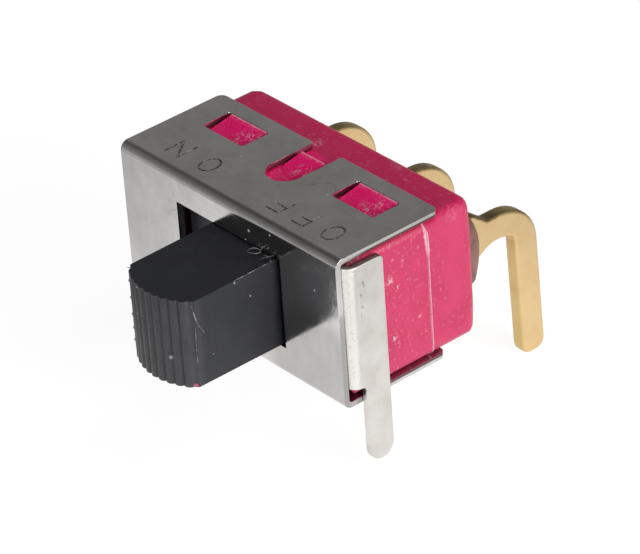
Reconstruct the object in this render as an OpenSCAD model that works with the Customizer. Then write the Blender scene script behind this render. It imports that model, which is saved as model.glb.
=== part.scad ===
// Miniature right-angle slide switch, single pole, two positions.
// X runs along the travel, Y from the actuator's tip to the terminals, Z up from the circuit board.
// The origin is on the board, under the frame, midway between the two support legs.

/* [Frame] */
// Length of the front plate, and of the case behind it
plate_l = 12.7; // [12:0.1:16]
// Height of the folded frame over both flaps
frame_h = 6.6; // [6.2:0.1:8.4]
// Depth from the front face to the rear edges of the flaps
flap_depth = 5.17; // [4.9:0.01:6.3]
// Thickness of the frame's sheet
sheet_t = 0.25; // [0.2:0.01:0.3]
// Inner radius of the frame's two folds
fold_r = 0.12; // [0.08:0.02:0.16]
// Radius of the flaps' free corners
flap_corner_r = 0.32; // [0.2:0.02:0.8]
// Length of each snap window, along the travel
window_l = 2.4; // [1.6:0.1:2.8]
// Width of each snap window, front to back
window_w = 1.4; // [1:0.1:1.6]
// Distance of each window's middle from the middle of the frame
window_x = 3.8; // [3.4:0.1:4.4]
// Strip of flap left behind each window
window_strip = 0.72; // [0.5:0.02:1]
// Width of the round-ended notch in each flap's rear edge
notch_w = 1.62; // [1.2:0.02:2]
// Depth of that notch
notch_depth = 2.92; // [2.4:0.02:3.6]
// Radius of the corners at the notch's mouth
notch_mouth_r = 0.15; // [0.05:0.05:0.4]
// Radius of the snap windows' corners
window_corner_r = 0.1; // [0.05:0.05:0.3]

/* [Case] */
// Distance from the front face to the case's rear face
case_back = 6.89; // [6.7:0.01:8.3]
// Radius of the four long edges that run from front to rear
case_side_r = 0.45; // [0.3:0.05:0.8]
// Radius of the edges round the front and rear faces
case_edge_r = 0.35; // [0.1:0.05:0.4]
// Distance from the front face to the mould's parting line
parting_y = 4.53; // [4.2:0.01:4.8]
// Height of the flash left along the parting line
flash_h = 0.03; // [0.01:0.01:0.04]
// Depth of the sealing recess in the rear face
recess_depth = 0.62; // [0.4:0.02:0.8]
// Wall left round that recess at the case's ends
recess_wall = 0.45; // [0.4:0.05:0.8]
// Height of the sealing recess
recess_h = 3.6; // [3.2:0.1:4.4]
// Radius of that recess's corners
recess_corner_r = 1.5; // [0.5:0.1:1.5]
// How far the sealing resin bulges behind the rear face
seal_bulge = 1.5; // [1.2:0.05:1.6]
// How far the bulge has sagged below the case's middle
seal_sag = 0.15; // [0:0.05:0.2]
// How far the resin has spread over the recess's rim
seal_spread = 0.1; // [0:0.05:0.2]

/* [Support bracket] */
// Thickness of the bracket's sheet
bracket_t = 0.3; // [0.25:0.01:0.35]
// Inner radius of the bracket's two bends
bracket_bend_r = 0.2; // [0.1:0.05:0.3]
// Distance from the front face to the rear edges of the bracket's ends
bracket_depth = 2.05; // [1.8:0.05:2.6]
// Width of each support leg
leg_w = 1.18; // [0.9:0.02:1.3]
// Length of each support leg below the board seat
leg_below = 2.7; // [2:0.1:3.4]
// Radius in the corner between the bracket's end and its leg
leg_root_r = 0.2; // [0.1:0.05:0.3]
// Radius of the rear top corner of each end
bracket_corner_r = 0.2; // [0.1:0.05:0.4]
// Gap between the web's foot and the frame's lower fold
web_lift = 0.44; // [0.1:0.02:0.5]
// Margin of the web's opening round the front plate's slot
opening_lip = 0.15; // [0.05:0.01:0.18]

/* [Actuator] */
// Travel from one end to the other
travel = 1.96; // [1.5:0.01:2.4]
// Width of the stem at the front plate, along the travel
stem_w = 3.81; // [3.2:0.01:4.5]
// Height of the stem at the front plate
stem_h = 3.86; // [3:0.02:4.2]
// Narrowing of the stem's width and height out to its tip
stem_draft = 0.06; // [0:0.01:0.1]
// Narrowing of the stem's width from its top to its underside
stem_taper = 0.15; // [0:0.01:0.15]
// Distance from the front face to the tip of the stem
stem_out = 4.8; // [3.8:0.1:6]
// Radius of the ribbed finger end, seen from above
grip_r = 2.9; // [2.4:0.1:3.6]
// Number of upright ribs on the finger end
grip_ribs = 9; // [5:2:9]
// Plain strip either side of the ribs, as a part of a rib's width
rib_margin = 0.5; // [0:0.1:1]
// Radius of each rib
rib_r = 0.25; // [0.22:0.01:0.28]
// Thickness of the flange inside the case
flange_t = 1.45; // [1.2:0.05:1.8]
// Height of that flange
flange_h = 4.5; // [4.3:0.1:4.8]

/* [Spring and plunger] */
// Diameter of the bore that holds the spring and plunger
bore_d = 1.3; // [1.1:0.05:1.6]
// Depth of that bore, from the flange's rear face
bore_depth = 4.3; // [3.6:0.1:5]
// Diameter of the spring's wire
spring_wire = 0.15; // [0.1:0.01:0.18]
// Number of turns in the spring
spring_turns = 8; // [5:1:10]
// Length of the plunger's shank
shank_l = 1.5; // [1.1:0.1:2]
// Radius of the plunger's nose
nose_r = 0.45; // [0.35:0.05:0.5]
// Length of the spigot that holds the spring's end turns
spigot_l = 0.45; // [0.3:0.05:0.6]

/* [Contacts] */
// Spacing of the terminals
pitch = 4.7; // [4.5:0.05:4.9]
// Thickness of a terminal
term_t = 0.66; // [0.5:0.02:0.8]
// Height of a terminal's blade where it leaves the case
blade_h = 1.44; // [1.2:0.02:1.7]
// How far the blades' middle lies below the case's middle
blade_drop = 0.12; // [0:0.01:0.2]
// Distance from the case's rear face to the outer edges of the terminals' legs
term_reach = 4.43; // [4.2:0.01:5.4]
// Outer radius where a blade turns down into its leg
term_bend_r = 1.9; // [1.7:0.05:2.1]
// Width of a terminal's leg
term_leg_w = 1.18; // [0.9:0.02:1.3]
// Length of a terminal's leg below the board seat
term_below = 3.1; // [2.4:0.01:4]
// Backward lean of the terminals' legs, in degrees
term_lean = 2.2; // [0:0.2:4]
// Radius of the arch cut under each blade
arch_r = 1.35; // [1.2:0.05:2]
// Height of that arch above the blade's lower edge
arch_rise = 0.34; // [0.1:0.01:0.45]
// Distance from the leg's inner edge forward to the arch's middle
arch_back = 0.9; // [0.6:0.05:1.1]
// Height of the stop shoulder above the blade
shoulder_h = 0.55; // [0.3:0.05:0.8]
// Distance from the case's rear face to the foot of the shoulder's slope
shoulder_reach = 1.88; // [1.7:0.02:2.2]
// Length of that slope
shoulder_slope = 0.7; // [0.5:0.05:1.2]
// Radius of the two corners at a terminal's tip
tip_r = 0.45; // [0.2:0.05:0.55]
// Tilt of the rocker either side of level, in degrees
rocker_tilt = 4; // [3:0.2:4]
// Thickness of the rocker's strip
rocker_t = 0.25; // [0.2:0.01:0.3]
// Thickness of the ears that sit over the pivot
ear_t = 0.22; // [0.15:0.01:0.3]

/* [Hidden] */
round_fn = 64;

// Clearances
case_fit = 0.05;      // between the case and the flaps
case_end_gap = 0.02;  // between the case's ends and the plate's ends
bracket_gap = 0.01;   // between the plate's ends and the bracket's ends
web_gap = 0.05;       // between the bracket's web and the frame's upper fold
slot_play = 0.165;    // left in the slot at the end of the travel
slide_play = 0.05;    // round the actuator's flange and stem
stop_gap = 0.015;     // between the flange and the case at the end of the travel
bump_gap = 0.16;      // between a snap bump and the sides of its window
bump_shy = 0.02;      // from a snap bump's crest to the flap's outer face
pin_play = 0.05;      // between the plunger and its bore
touch_gap = 0.015;    // where working faces meet
swing_gap = 0.3;      // between the flange and the rocker's ends
coil_play = 0.08;     // between the spring and the bore
spigot_play = 0.05;   // between the plunger's spigot and the spring
flat_margin = 0.3;    // left on the rocker's flat past the nose, both ends together
well_play = 0.4;      // left in the well past the rocker's height
well_end_play = 0.3;  // left in the well past the rocker's length
floor_gap = 0.8;      // between the pivot and the well's floor

// Frame and case
fold_out = fold_r + sheet_t;
case_l = plate_l - 2 * case_end_gap;
case_h = frame_h - 2 * sheet_t - 2 * case_fit;
case_front = sheet_t + bracket_t;
window_back = flap_depth - window_strip;
bump_rise = frame_h / 2 - bump_shy - case_h / 2;
recess_l = case_l - 2 * recess_wall;

// Slot, flange and cavity: the flange strikes the cavity's ends and so sets the travel
slot_l = stem_w + travel + 2 * slot_play;
slot_h = stem_h + 2 * slide_play;
flange_l = slot_l + travel - 2 * slide_play;
flange_front = case_front + slide_play;
flange_back = flange_front + flange_t;
ledge_y = flange_back + slide_play;
cavity_l = flange_l + travel + 2 * stop_gap;
cavity_h = flange_h + 2 * slide_play;

// Rocker: its pivot is the rounded front end of the common terminal
knife_r = term_t / 2;
saddle = knife_r + touch_gap;
rocker_l = 2 * pitch + term_t;
rocker_w = blade_h;
flat_l = travel + 2 * nose_r + flat_margin;
arm_l = rocker_l / 2 / cos(rocker_tilt) - flat_l / 2;
arm_reach = saddle + rocker_t + (rocker_l - flat_l / 2) * sin(rocker_tilt);
pivot_y = flange_back + swing_gap + arm_reach;
pad_y = pivot_y - saddle + flat_l / 2 * sin(rocker_tilt) + touch_gap;
well_h = rocker_w + well_play;
well_l = rocker_l + well_end_play;
floor_y = pivot_y + floor_gap;
recess_y = case_back - recess_depth;

// Plunger and spring
shank_r = bore_d / 2 - pin_play;
nose_reach = saddle + rocker_t + nose_r + touch_gap - travel / 2 * sin(rocker_tilt);
shank_back = pivot_y - nose_reach / cos(rocker_tilt);
shank_front = shank_back - shank_l;
bore_end = flange_back - bore_depth;
spring_coil_r = bore_d / 2 - coil_play - spring_wire / 2;
spigot_r = spring_coil_r - spring_wire / 2 - spigot_play;

// Terminals
blade_top = blade_h / 2 - blade_drop;
blade_foot = -blade_h / 2 - blade_drop;
shoulder_top = blade_top + shoulder_h;
slope_y = case_back + shoulder_reach;
bend_y = case_back + term_reach - term_bend_r;
bend_z = blade_top - term_bend_r;
arch_y = bend_y + term_bend_r - term_leg_w - arch_back;
arch_z = blade_foot + arch_rise;
term_leg_l = (bend_z + frame_h / 2 + term_below + (term_bend_r - term_leg_w / 2) * sin(term_lean))
    / cos(term_lean);

// Finger end
grip_c = grip_r - stem_out;
tip_w = stem_w - stem_draft;
grip_spread = 2 * asin(tip_w / 2 / grip_r);
rib_step = grip_spread / (grip_ribs + 2 * rib_margin);
grip_core_r = grip_r - rib_r + sqrt(pow(rib_r, 2) - pow((grip_r - rib_r) * sin(rib_step / 2), 2));

// Shapes are drawn with y = 0 on the front face and z = 0 at mid-height, then set on the board.
leg_row_y = bracket_depth - leg_w / 2;

module on_board() {
    translate([0, -leg_row_y, frame_h / 2]) children();
}

// Extrudes a Y-Z outline along X, centred.
module along_x(length) {
    rotate([90, 0, 90]) linear_extrude(height = length, center = true) children();
}

// Extrudes an X-Z outline along Y, between two depths.
module along_y(from, to) {
    translate([0, to, 0]) rotate([90, 0, 0]) linear_extrude(height = to - from) children();
}

// Extrudes an X-Y outline along Z, centred.
module along_z(height) {
    linear_extrude(height = height, center = true) children();
}

// A rectangle with all four corners rounded.
module round_rect(length, width, r) {
    square([length - 2 * r, width], center = true);
    square([length, width - 2 * r], center = true);
    for (x = [-1, 1], y = [-1, 1])
        translate([x * (length / 2 - r), y * (width / 2 - r)]) circle(r = r, $fn = round_fn);
}

// A rectangle from `from` to `to`, centred across, with the two corners at `to` rounded.
module round_ended(from, to, width, r) {
    translate([from, -width / 2]) square([to - from - r, width]);
    translate([to - r - 0.001, r - width / 2]) square([r + 0.001, width - 2 * r]);
    for (side = [-1, 1])
        translate([to - r, side * (width / 2 - r)]) circle(r = r, $fn = round_fn);
}

// The same, with the rounded corners at the front.
module round_fronted(from, to, width, r) {
    mirror([1, 0]) round_ended(-to, -from, width, r);
}

// ---- Folded frame: a front plate with two flaps ----

module window_plan() {
    for (side = [-1, 1])
        translate([side * window_x, window_back - window_w / 2])
            round_rect(window_l, window_w, window_corner_r);
}

module notch_plan() {
    round_y = flap_depth - notch_depth + notch_w / 2;
    translate([0, round_y]) circle(r = notch_w / 2, $fn = round_fn);
    translate([-notch_w / 2, round_y]) square([notch_w, flap_depth]);
    for (side = [0, 1]) mirror([side, 0])
        translate([notch_w / 2 + notch_mouth_r, flap_depth - notch_mouth_r]) difference() {
            translate([-2 * notch_mouth_r, 0]) square(2 * notch_mouth_r);
            circle(r = notch_mouth_r, $fn = round_fn);
        }
}

module housing() {
    color([0.72, 0.71, 0.69]) on_board() difference() {
        intersection() {
            along_x(plate_l) difference() {
                round_fronted(0, flap_depth + 1, frame_h, fold_out);
                round_fronted(sheet_t, flap_depth + 2, frame_h - 2 * sheet_t, fold_r);
            }
            along_z(frame_h + 1) rotate(90) round_ended(-1, flap_depth, plate_l, flap_corner_r);
        }
        along_y(-1, fold_out) square([slot_l, slot_h], center = true);
        along_z(frame_h + 1) window_plan();
        along_z(frame_h + 1) notch_plan();
    }
}

// ---- Support bracket: a web behind the plate, bent back at both ends into tabs with legs ----

module bracket_end_outline() {
    web_top = frame_h / 2 - fold_out - web_gap;
    web_foot = fold_out + web_lift - frame_h / 2;
    foot = -frame_h / 2 - leg_below;
    front = bracket_depth - leg_w;
    difference() {
        translate([sheet_t, web_foot]) square([bracket_depth - sheet_t, web_top - web_foot]);
        translate([bracket_depth - bracket_corner_r, web_top - bracket_corner_r]) difference() {
            square(2 * bracket_corner_r);
            circle(r = bracket_corner_r, $fn = round_fn);
        }
    }
    translate([front, foot + leg_w / 2]) square([leg_w, -foot - leg_w / 2]);
    translate([front + leg_w / 2, foot + leg_w / 2]) circle(r = leg_w / 2, $fn = round_fn);
    translate([front - leg_root_r, web_foot - leg_root_r]) difference() {
        square(leg_root_r + 0.01);
        circle(r = leg_root_r, $fn = round_fn);
    }
}

module support_bracket() {
    inner_l = plate_l + 2 * bracket_gap;
    outer_l = inner_l + 2 * bracket_t;
    color([0.84, 0.83, 0.8]) on_board() difference() {
        intersection() {
            along_z(3 * frame_h) difference() {
                rotate(90) round_fronted(sheet_t, case_back, outer_l, bracket_bend_r + bracket_t);
                rotate(90) round_fronted(sheet_t + bracket_t, case_back + 1, inner_l, bracket_bend_r);
            }
            along_x(outer_l + 1) bracket_end_outline();
        }
        along_y(0, case_back) square([slot_l, slot_h] + 2 * [opening_lip, opening_lip], center = true);
    }
}

// ---- Moulded case ----

// The wedges that snap into the windows and notches of both flaps.
module snap_bumps() {
    rear = window_back - bump_shy;
    front = window_back - window_w + bump_shy;
    root = case_h / 2 - case_edge_r;
    notch_bump_w = notch_w - 2 * bump_gap;
    for (flap = [0, 1]) mirror([0, 0, flap]) intersection() {
        along_x(plate_l) polygon([
            [front, root], [front, case_h / 2], [rear, case_h / 2 + bump_rise], [rear, root]
        ]);
        along_z(2 * frame_h) {
            for (side = [-1, 1])
                translate([side * window_x, (front + rear) / 2])
                    square([window_l - 2 * bump_gap, rear - front], center = true);
            rotate(90) round_fronted(front, rear, notch_bump_w, notch_bump_w / 2 - 0.01);
        }
    }
}

// A block with every edge rounded, and the flash that stands out along its parting line.
module case_shell() {
    depth = case_back - case_front;
    mid_y = (case_back + case_front) / 2;
    intersection() {
        along_y(case_front, case_back) round_rect(case_l, case_h, case_side_r);
        along_z(case_h) translate([0, mid_y]) round_rect(case_l, depth, case_edge_r);
        along_x(case_l) translate([mid_y, 0]) round_rect(depth, case_h, case_edge_r);
    }
    along_y(parting_y - flash_h, parting_y + flash_h)
        round_rect(case_l + 2 * flash_h, case_h + 2 * flash_h, case_side_r + flash_h);
}

module case() {
    color([0.8, 0.1, 0.3]) on_board() difference() {
        union() {
            case_shell();
            snap_bumps();
        }
        along_y(case_front - 1, ledge_y) square([cavity_l, cavity_h], center = true);
        along_y(case_front - 1, floor_y)
            translate([0, -blade_drop]) square([well_l, well_h], center = true);
        along_y(recess_y, case_back + 1) round_rect(recess_l, recess_h, recess_corner_r);
        for (at = [-1, 0, 1])
            translate([at * pitch, 0, -blade_drop])
                along_y(ledge_y, case_back) square([term_t, blade_h], center = true);
    }
}

// ---- Resin that fills the recess and domes out round the terminals ----

module terminal_seal() {
    spread_l = recess_l + 2 * seal_spread;
    spread_h = recess_h + 2 * seal_spread;
    dome_r = (pow(spread_h / 2, 2) + pow(seal_bulge, 2)) / (2 * seal_bulge);
    dome_y = case_back + seal_bulge;
    color([0.45, 0.27, 0.2]) on_board() difference() {
        union() {
            along_y(recess_y, case_back) round_rect(recess_l, recess_h, recess_corner_r);
            intersection() {
                along_y(case_back, dome_y)
                    round_rect(spread_l, spread_h, recess_corner_r + seal_spread);
                along_z(spread_h) rotate(90) round_ended(0, dome_y, spread_l, seal_bulge);
                along_x(spread_l) translate([dome_y - dome_r, -seal_sag])
                    circle(r = dome_r, $fn = 2 * round_fn);
            }
        }
        for (at = [-1, 0, 1]) translate([at * pitch, 0, 0]) along_x(term_t) terminal_outline(ledge_y);
    }
}

// ---- Actuator: finger stem, flange and the spring's bore ----

module stem_plan() {
    intersection() {
        union() {
            translate([0, grip_c]) circle(r = grip_core_r, $fn = round_fn);
            for (rib = [0 : grip_ribs - 1])
                translate([0, grip_c])
                    rotate((rib - (grip_ribs - 1) / 2) * rib_step)
                        translate([0, rib_r - grip_r]) circle(r = rib_r, $fn = round_fn);
            translate([-stem_w, grip_c - sqrt(pow(grip_core_r, 2) - pow(tip_w / 2, 2))])
                square([2 * stem_w, 2 * stem_out]);
        }
        polygon([
            [-tip_w / 2, -stem_out], [tip_w / 2, -stem_out],
            [stem_w / 2, 0], [stem_w / 2, flange_back], [-stem_w / 2, flange_back], [-stem_w / 2, 0]
        ]);
    }
}

// The stem's section: a little narrower at its underside than at its top.
module stem_front() {
    function width_at(z) = stem_w - stem_taper * (1 / 2 - z / stem_h);
    polygon([
        for (z = [stem_h, -stem_h]) [width_at(z) / 2, z],
        for (z = [-stem_h, stem_h]) [-width_at(z) / 2, z]
    ]);
}

module stem_side() {
    tip_h = stem_h - stem_draft;
    polygon([
        [-stem_out, -tip_h / 2], [0, -stem_h / 2], [flange_back, -stem_h / 2],
        [flange_back, stem_h / 2], [0, stem_h / 2], [-stem_out, tip_h / 2]
    ]);
}

module actuator() {
    color([0.12, 0.12, 0.13]) on_board() translate([travel / 2, 0, 0]) difference() {
        union() {
            intersection() {
                along_z(stem_h + 1) stem_plan();
                along_x(stem_w + 1) stem_side();
                along_y(-stem_out, flange_back) stem_front();
            }
            along_y(flange_front, flange_back) square([flange_l, flange_h], center = true);
        }
        translate([0, bore_end, 0]) rotate([-90, 0, 0])
            cylinder(d = bore_d, h = bore_depth + 1, $fn = round_fn);
    }
}

// ---- Plunger and its spring, in the actuator's bore ----

// Turned about Y: a spigot inside the spring, a shank in the bore and a round nose.
module plunger_outline() {
    step = shank_r - nose_r;
    translate([0, shank_front - spigot_l]) square([spigot_r, spigot_l + step]);
    polygon([
        [0, shank_front], [shank_r, shank_front], [shank_r, shank_back - step],
        [nose_r, shank_back], [0, shank_back]
    ]);
    translate([0, shank_back]) intersection() {
        circle(r = nose_r, $fn = round_fn);
        translate([0, -step]) square(nose_r + step);
    }
}

module plunger() {
    color([0.8, 0.68, 0.4]) on_board() translate([travel / 2, 0, 0])
        rotate([-90, 0, 0]) rotate_extrude($fn = round_fn) plunger_outline();
}

// Closed end turns lie a wire apart, and the free turns between them share what is left.
function spring_y(turn, length) =
    let (free = (length - 3 * spring_wire) / (spring_turns - 2))
    turn < 1 ? turn * spring_wire
    : turn > spring_turns - 1 ? length - spring_wire - (spring_turns - turn) * spring_wire
    : spring_wire + (turn - 1) * free;

module plunger_spring() {
    steps = 20;
    sides = 6;
    length = shank_front - bore_end - 2 * touch_gap;
    last = spring_turns * steps;
    rings = [for (i = [0 : last])
        let (a = 360 * i / steps, y = bore_end + touch_gap + spring_wire / 2 + spring_y(i / steps, length))
        [for (s = [0 : sides - 1])
            let (b = 360 * s / sides, r = spring_coil_r + spring_wire / 2 * cos(b))
            [r * cos(a), y + spring_wire / 2 * sin(b), r * sin(a)]]];
    walls = [for (i = [0 : last - 1], s = [0 : sides - 1])
        let (n = (s + 1) % sides)
        [i * sides + s, i * sides + n, (i + 1) * sides + n, (i + 1) * sides + s]];
    front_end = [for (s = [sides - 1 : -1 : 0]) s];
    rear_end = [for (s = [0 : sides - 1]) last * sides + s];
    color([0.75, 0.75, 0.76]) on_board() translate([travel / 2, 0, 0]) polyhedron(
        points = [for (ring = rings) each ring],
        faces = concat([front_end], walls, [rear_end])
    );
}

// ---- Rocker: a formed strip that tips on the common terminal ----

module rocker_strip() {
    translate([-flat_l / 2, -saddle - rocker_t]) square([flat_l, rocker_t]);
    for (side = [0, 1]) mirror([side, 0])
        translate([flat_l / 2, -saddle]) rotate(-rocker_tilt)
            translate([-rocker_t, -rocker_t]) square([arm_l + rocker_t, rocker_t]);
}

// The ears turned back from the strip's edges, notched to sit over the pivot.
module rocker_ears() {
    ear_l = 4 * saddle;
    difference() {
        translate([-ear_l / 2, -saddle - rocker_t / 2]) square([ear_l, saddle + rocker_t / 2]);
        circle(r = saddle, $fn = round_fn);
    }
}

module rocker_contact() {
    color([0.86, 0.7, 0.42]) on_board() translate([0, pivot_y, -blade_drop]) rotate(rocker_tilt) {
        along_z(rocker_w) rocker_strip();
        for (side = [-1, 1])
            translate([0, 0, side * (rocker_w - ear_t) / 2]) along_z(ear_t) rocker_ears();
    }
}

// ---- Terminals: flat stampings, a blade through the case and a leg down to the board ----

// A stop shoulder on the blade's top seats on the recess's floor.
module terminal_outline(inner_y) {
    difference() {
        union() {
            translate([inner_y, blade_foot]) square([bend_y - inner_y, blade_h]);
            polygon([
                [recess_y, 0], [slope_y, 0], [slope_y, blade_top],
                [slope_y - shoulder_slope, shoulder_top], [recess_y, shoulder_top]
            ]);
            translate([bend_y, bend_z]) intersection() {
                circle(r = term_bend_r, $fn = 2 * round_fn);
                square(term_bend_r);
            }
        }
        translate([arch_y, arch_z - arch_r]) circle(r = arch_r, $fn = 2 * round_fn);
    }
    translate([bend_y, bend_z]) rotate(term_lean) translate([term_bend_r - term_leg_w / 2, 0]) {
        rotate(-90) round_ended(0, term_leg_l, term_leg_w, tip_r);
        translate([-term_leg_w / 2, 0]) square([term_leg_w / 2, arch_z - bend_z]);
    }
}

module terminal(at, inner_y) {
    color([0.87, 0.74, 0.5]) on_board() translate([at * pitch, 0, 0])
        along_x(term_t) terminal_outline(inner_y);
}

module terminal_left() {
    terminal(-1, pad_y);
}

module terminal_right() {
    terminal(1, pad_y);
}

// The common terminal's inner end is rounded into the rocker's pivot.
module terminal_common() {
    terminal(0, pivot_y);
    color([0.87, 0.74, 0.5]) on_board() translate([0, pivot_y, -blade_drop])
        cylinder(r = knife_r, h = blade_h, center = true, $fn = round_fn);
}

housing();
support_bracket();
case();
terminal_seal();
actuator();
plunger();
plunger_spring();
rocker_contact();
terminal_left();
terminal_common();
terminal_right();
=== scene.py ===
import bpy
import math
from mathutils import Matrix, Vector


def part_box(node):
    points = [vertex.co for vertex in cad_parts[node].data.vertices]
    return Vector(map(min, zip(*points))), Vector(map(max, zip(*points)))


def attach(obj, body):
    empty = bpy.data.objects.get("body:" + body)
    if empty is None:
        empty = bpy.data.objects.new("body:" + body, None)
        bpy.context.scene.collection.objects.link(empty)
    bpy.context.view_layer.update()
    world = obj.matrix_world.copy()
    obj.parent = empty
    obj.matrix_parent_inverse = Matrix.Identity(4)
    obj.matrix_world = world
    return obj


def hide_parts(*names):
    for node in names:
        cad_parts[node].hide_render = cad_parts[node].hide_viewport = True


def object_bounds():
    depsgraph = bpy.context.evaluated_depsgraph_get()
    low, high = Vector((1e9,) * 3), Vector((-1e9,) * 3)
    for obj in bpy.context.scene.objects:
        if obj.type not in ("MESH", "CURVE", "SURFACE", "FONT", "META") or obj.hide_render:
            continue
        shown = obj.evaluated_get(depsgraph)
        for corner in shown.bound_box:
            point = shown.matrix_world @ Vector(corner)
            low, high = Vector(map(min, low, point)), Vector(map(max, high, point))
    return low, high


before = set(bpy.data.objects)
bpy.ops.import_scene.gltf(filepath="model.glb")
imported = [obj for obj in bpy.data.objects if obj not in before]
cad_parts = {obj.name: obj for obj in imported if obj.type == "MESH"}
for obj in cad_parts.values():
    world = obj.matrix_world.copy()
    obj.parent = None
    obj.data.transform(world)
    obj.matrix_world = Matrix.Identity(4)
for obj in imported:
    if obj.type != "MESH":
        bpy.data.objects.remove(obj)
cad_box = [list(corner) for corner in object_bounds()]
MM = 0.001

# ---- Camera ----
# A long lens looks down on the switch from beyond its right front corner.
# It is aimed at the middle of the folded frame, and leans a little to one side.
low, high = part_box("housing")
aim_depth, standoff, aside, below = 3.0 * MM, 159.485 * MM, 1.141 * MM, 1.263 * MM
focal_length, film_width = 232.85, 36
bearing, height, lean = math.radians(51.245), math.radians(32.263), math.radians(-4.118)
aim = Vector((0, low.y + aim_depth, (low.z + high.z) / 2))
back = Vector((
    math.sin(bearing) * math.cos(height), -math.cos(bearing) * math.cos(height), math.sin(height)
))
level = Vector((math.cos(bearing), math.sin(bearing), 0))
upright = back.cross(level)
right = math.cos(lean) * level + math.sin(lean) * upright
up = math.cos(lean) * upright - math.sin(lean) * level
camera = bpy.data.objects.new("camera", bpy.data.cameras.new("camera"))
bpy.context.scene.collection.objects.link(camera)
camera.matrix_world = Matrix.Translation(
    aim + back * standoff + right * aside - up * below
) @ Matrix((right, up, back)).transposed().to_4x4()
camera.data.lens = focal_length
camera.data.sensor_width = film_width
camera.data.clip_start = 10 * MM
camera.data.clip_end = 10
bpy.context.scene.camera = camera
bpy.context.scene.view_settings.view_transform = "Standard"


# ---- Table ----
# A smooth white table that the switch stands on by the tips of its terminals.
# It glows white to the eye, shows in reflections as a painted pool of light brightest close to the switch,
# and still takes the switch's faint shadow.
class Flow:
    """A value, colour or vector on its way through a material's nodes."""

    def __init__(self, tree, socket=None):
        self.tree = tree
        self.socket = socket

    def node(self, kind, settings=None, inputs=None, out=0):
        """Adds a node of any kind, with its settings and then its inputs, and gives one of its outputs."""
        new = self.tree.nodes.new(kind)
        for name, value in (settings or {}).items():
            setattr(new, name, value)
        for name, value in (inputs or {}).items():
            if isinstance(value, Flow):
                self.tree.links.new(value.socket, new.inputs[name])
            else:
                new.inputs[name].default_value = value
        return Flow(self.tree, new.outputs[out])

    def also(self, out):
        """Another output of the node that this one comes from."""
        return Flow(self.tree, self.socket.node.outputs[out])

    def math(self, operation, other=0.0, third=None):
        """This value worked on by a Math node, with up to two more values or numbers."""
        inputs = {0: self, 1: other}
        if third is not None:
            inputs[2] = third
        return self.node("ShaderNodeMath", {"operation": operation}, inputs)

    def __add__(self, other):
        return self.math("ADD", other)

    __radd__ = __add__

    def __mul__(self, other):
        return self.math("MULTIPLY", other)

    __rmul__ = __mul__

    def __sub__(self, other):
        return self.math("SUBTRACT", other)

    def __rsub__(self, other):
        return self.math("MULTIPLY_ADD", -1.0, other)

    def step(self, start, end, low=0.0, high=1.0):
        """Goes smoothly from low to high as this value goes from start to end."""
        return self.node("ShaderNodeMapRange", {"interpolation_type": "SMOOTHSTEP"}, {
            "Value": self, "From Min": start, "From Max": end, "To Min": low, "To Max": high
        })


def new_material(name):
    """A material whose tree holds only its output, and a Flow to start from."""
    material = bpy.data.materials.new(name)
    material.use_nodes = True
    material.node_tree.nodes.clear()
    return material, Flow(material.node_tree)


def finish_material(flow, shader):
    """Joins a shader to its material's output."""
    output = flow.tree.nodes.new("ShaderNodeOutputMaterial")
    flow.tree.links.new(shader.socket, output.inputs["Surface"])


table_size, lit_inner, lit_outer = 3.0, 12 * MM, 30 * MM
bpy.ops.object.select_all(action="DESELECT")
bpy.ops.mesh.primitive_plane_add(size=table_size, location=(0, 0, cad_box[0][2]))
table = bpy.context.object
table.name = "table"
white_table, start = new_material("white_table")
seen = start.node("ShaderNodeLightPath", None, None, "Is Camera Ray")
seen = seen.math("MAXIMUM", start.node("ShaderNodeLightPath", None, None, "Is Glossy Ray"))
seen = seen.math("MAXIMUM", start.node("ShaderNodeLightPath", None, None, "Is Transmission Ray"))
# In reflections the table glows as a painted pool of light: full within 12 mm of the switch, falling to 0.42
# of that by 30 mm. Camera rays always see it full white.
spot = start.node("ShaderNodeTexCoord", None, None, "Object")
middle = (3 * MM, 0, 0)
far = start.node("ShaderNodeVectorMath", {"operation": "DISTANCE"}, {0: spot, 1: middle}, "Value")
direct = start.node("ShaderNodeLightPath", None, None, "Is Camera Ray")
light = direct.math("MAXIMUM", far.step(lit_inner, lit_outer, 1.0, 0.42))
bounce = start.node("ShaderNodeBsdfDiffuse", None, {"Color": (0.85, 0.85, 0.85, 1)})
shadow = start.node("ShaderNodeBsdfDiffuse", None, {"Color": (0.16, 0.16, 0.16, 1)})
glow = start.node("ShaderNodeEmission", None, {"Color": light * 0.92, "Strength": 1.0})
shown = start.node("ShaderNodeAddShader", None, {0: shadow, 1: glow})
finish_material(start, start.node("ShaderNodeMixShader", None, {0: seen, 1: bounce, 2: shown}))
table.data.materials.append(white_table)

# ---- Studio ----
# One broad soft lamp stands low on the right, a weaker one in front, and a third hangs above the right rear.
# The room is grey, darker overhead and in front of the switch, so the bright metal has something to mirror.
world = bpy.data.worlds.new("studio")
bpy.context.scene.world = world
world.use_nodes = True
world.node_tree.nodes.clear()
room = Flow(world.node_tree)
direction = room.node("ShaderNodeTexCoord", None, None, "Generated")
rise = room.node("ShaderNodeSeparateXYZ", None, {0: direction}, "Z")
rear = rise.also("Y")
dim = rise.step(0.0, 0.6, 0.42, 0.21) * rise.step(0.58, 0.76, 1.0, 0.35) * rear.step(-0.6, 0.2, 0.75, 1.0)
to_camera = room.node("ShaderNodeLightPath", None, None, "Is Camera Ray")
white = dim + to_camera * (1 - dim)
sky = room.node("ShaderNodeBackground", None, {"Color": white, "Strength": 1.0})
world_output = world.node_tree.nodes.new("ShaderNodeOutputWorld")
world.node_tree.links.new(sky.socket, world_output.inputs["Surface"])


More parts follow.
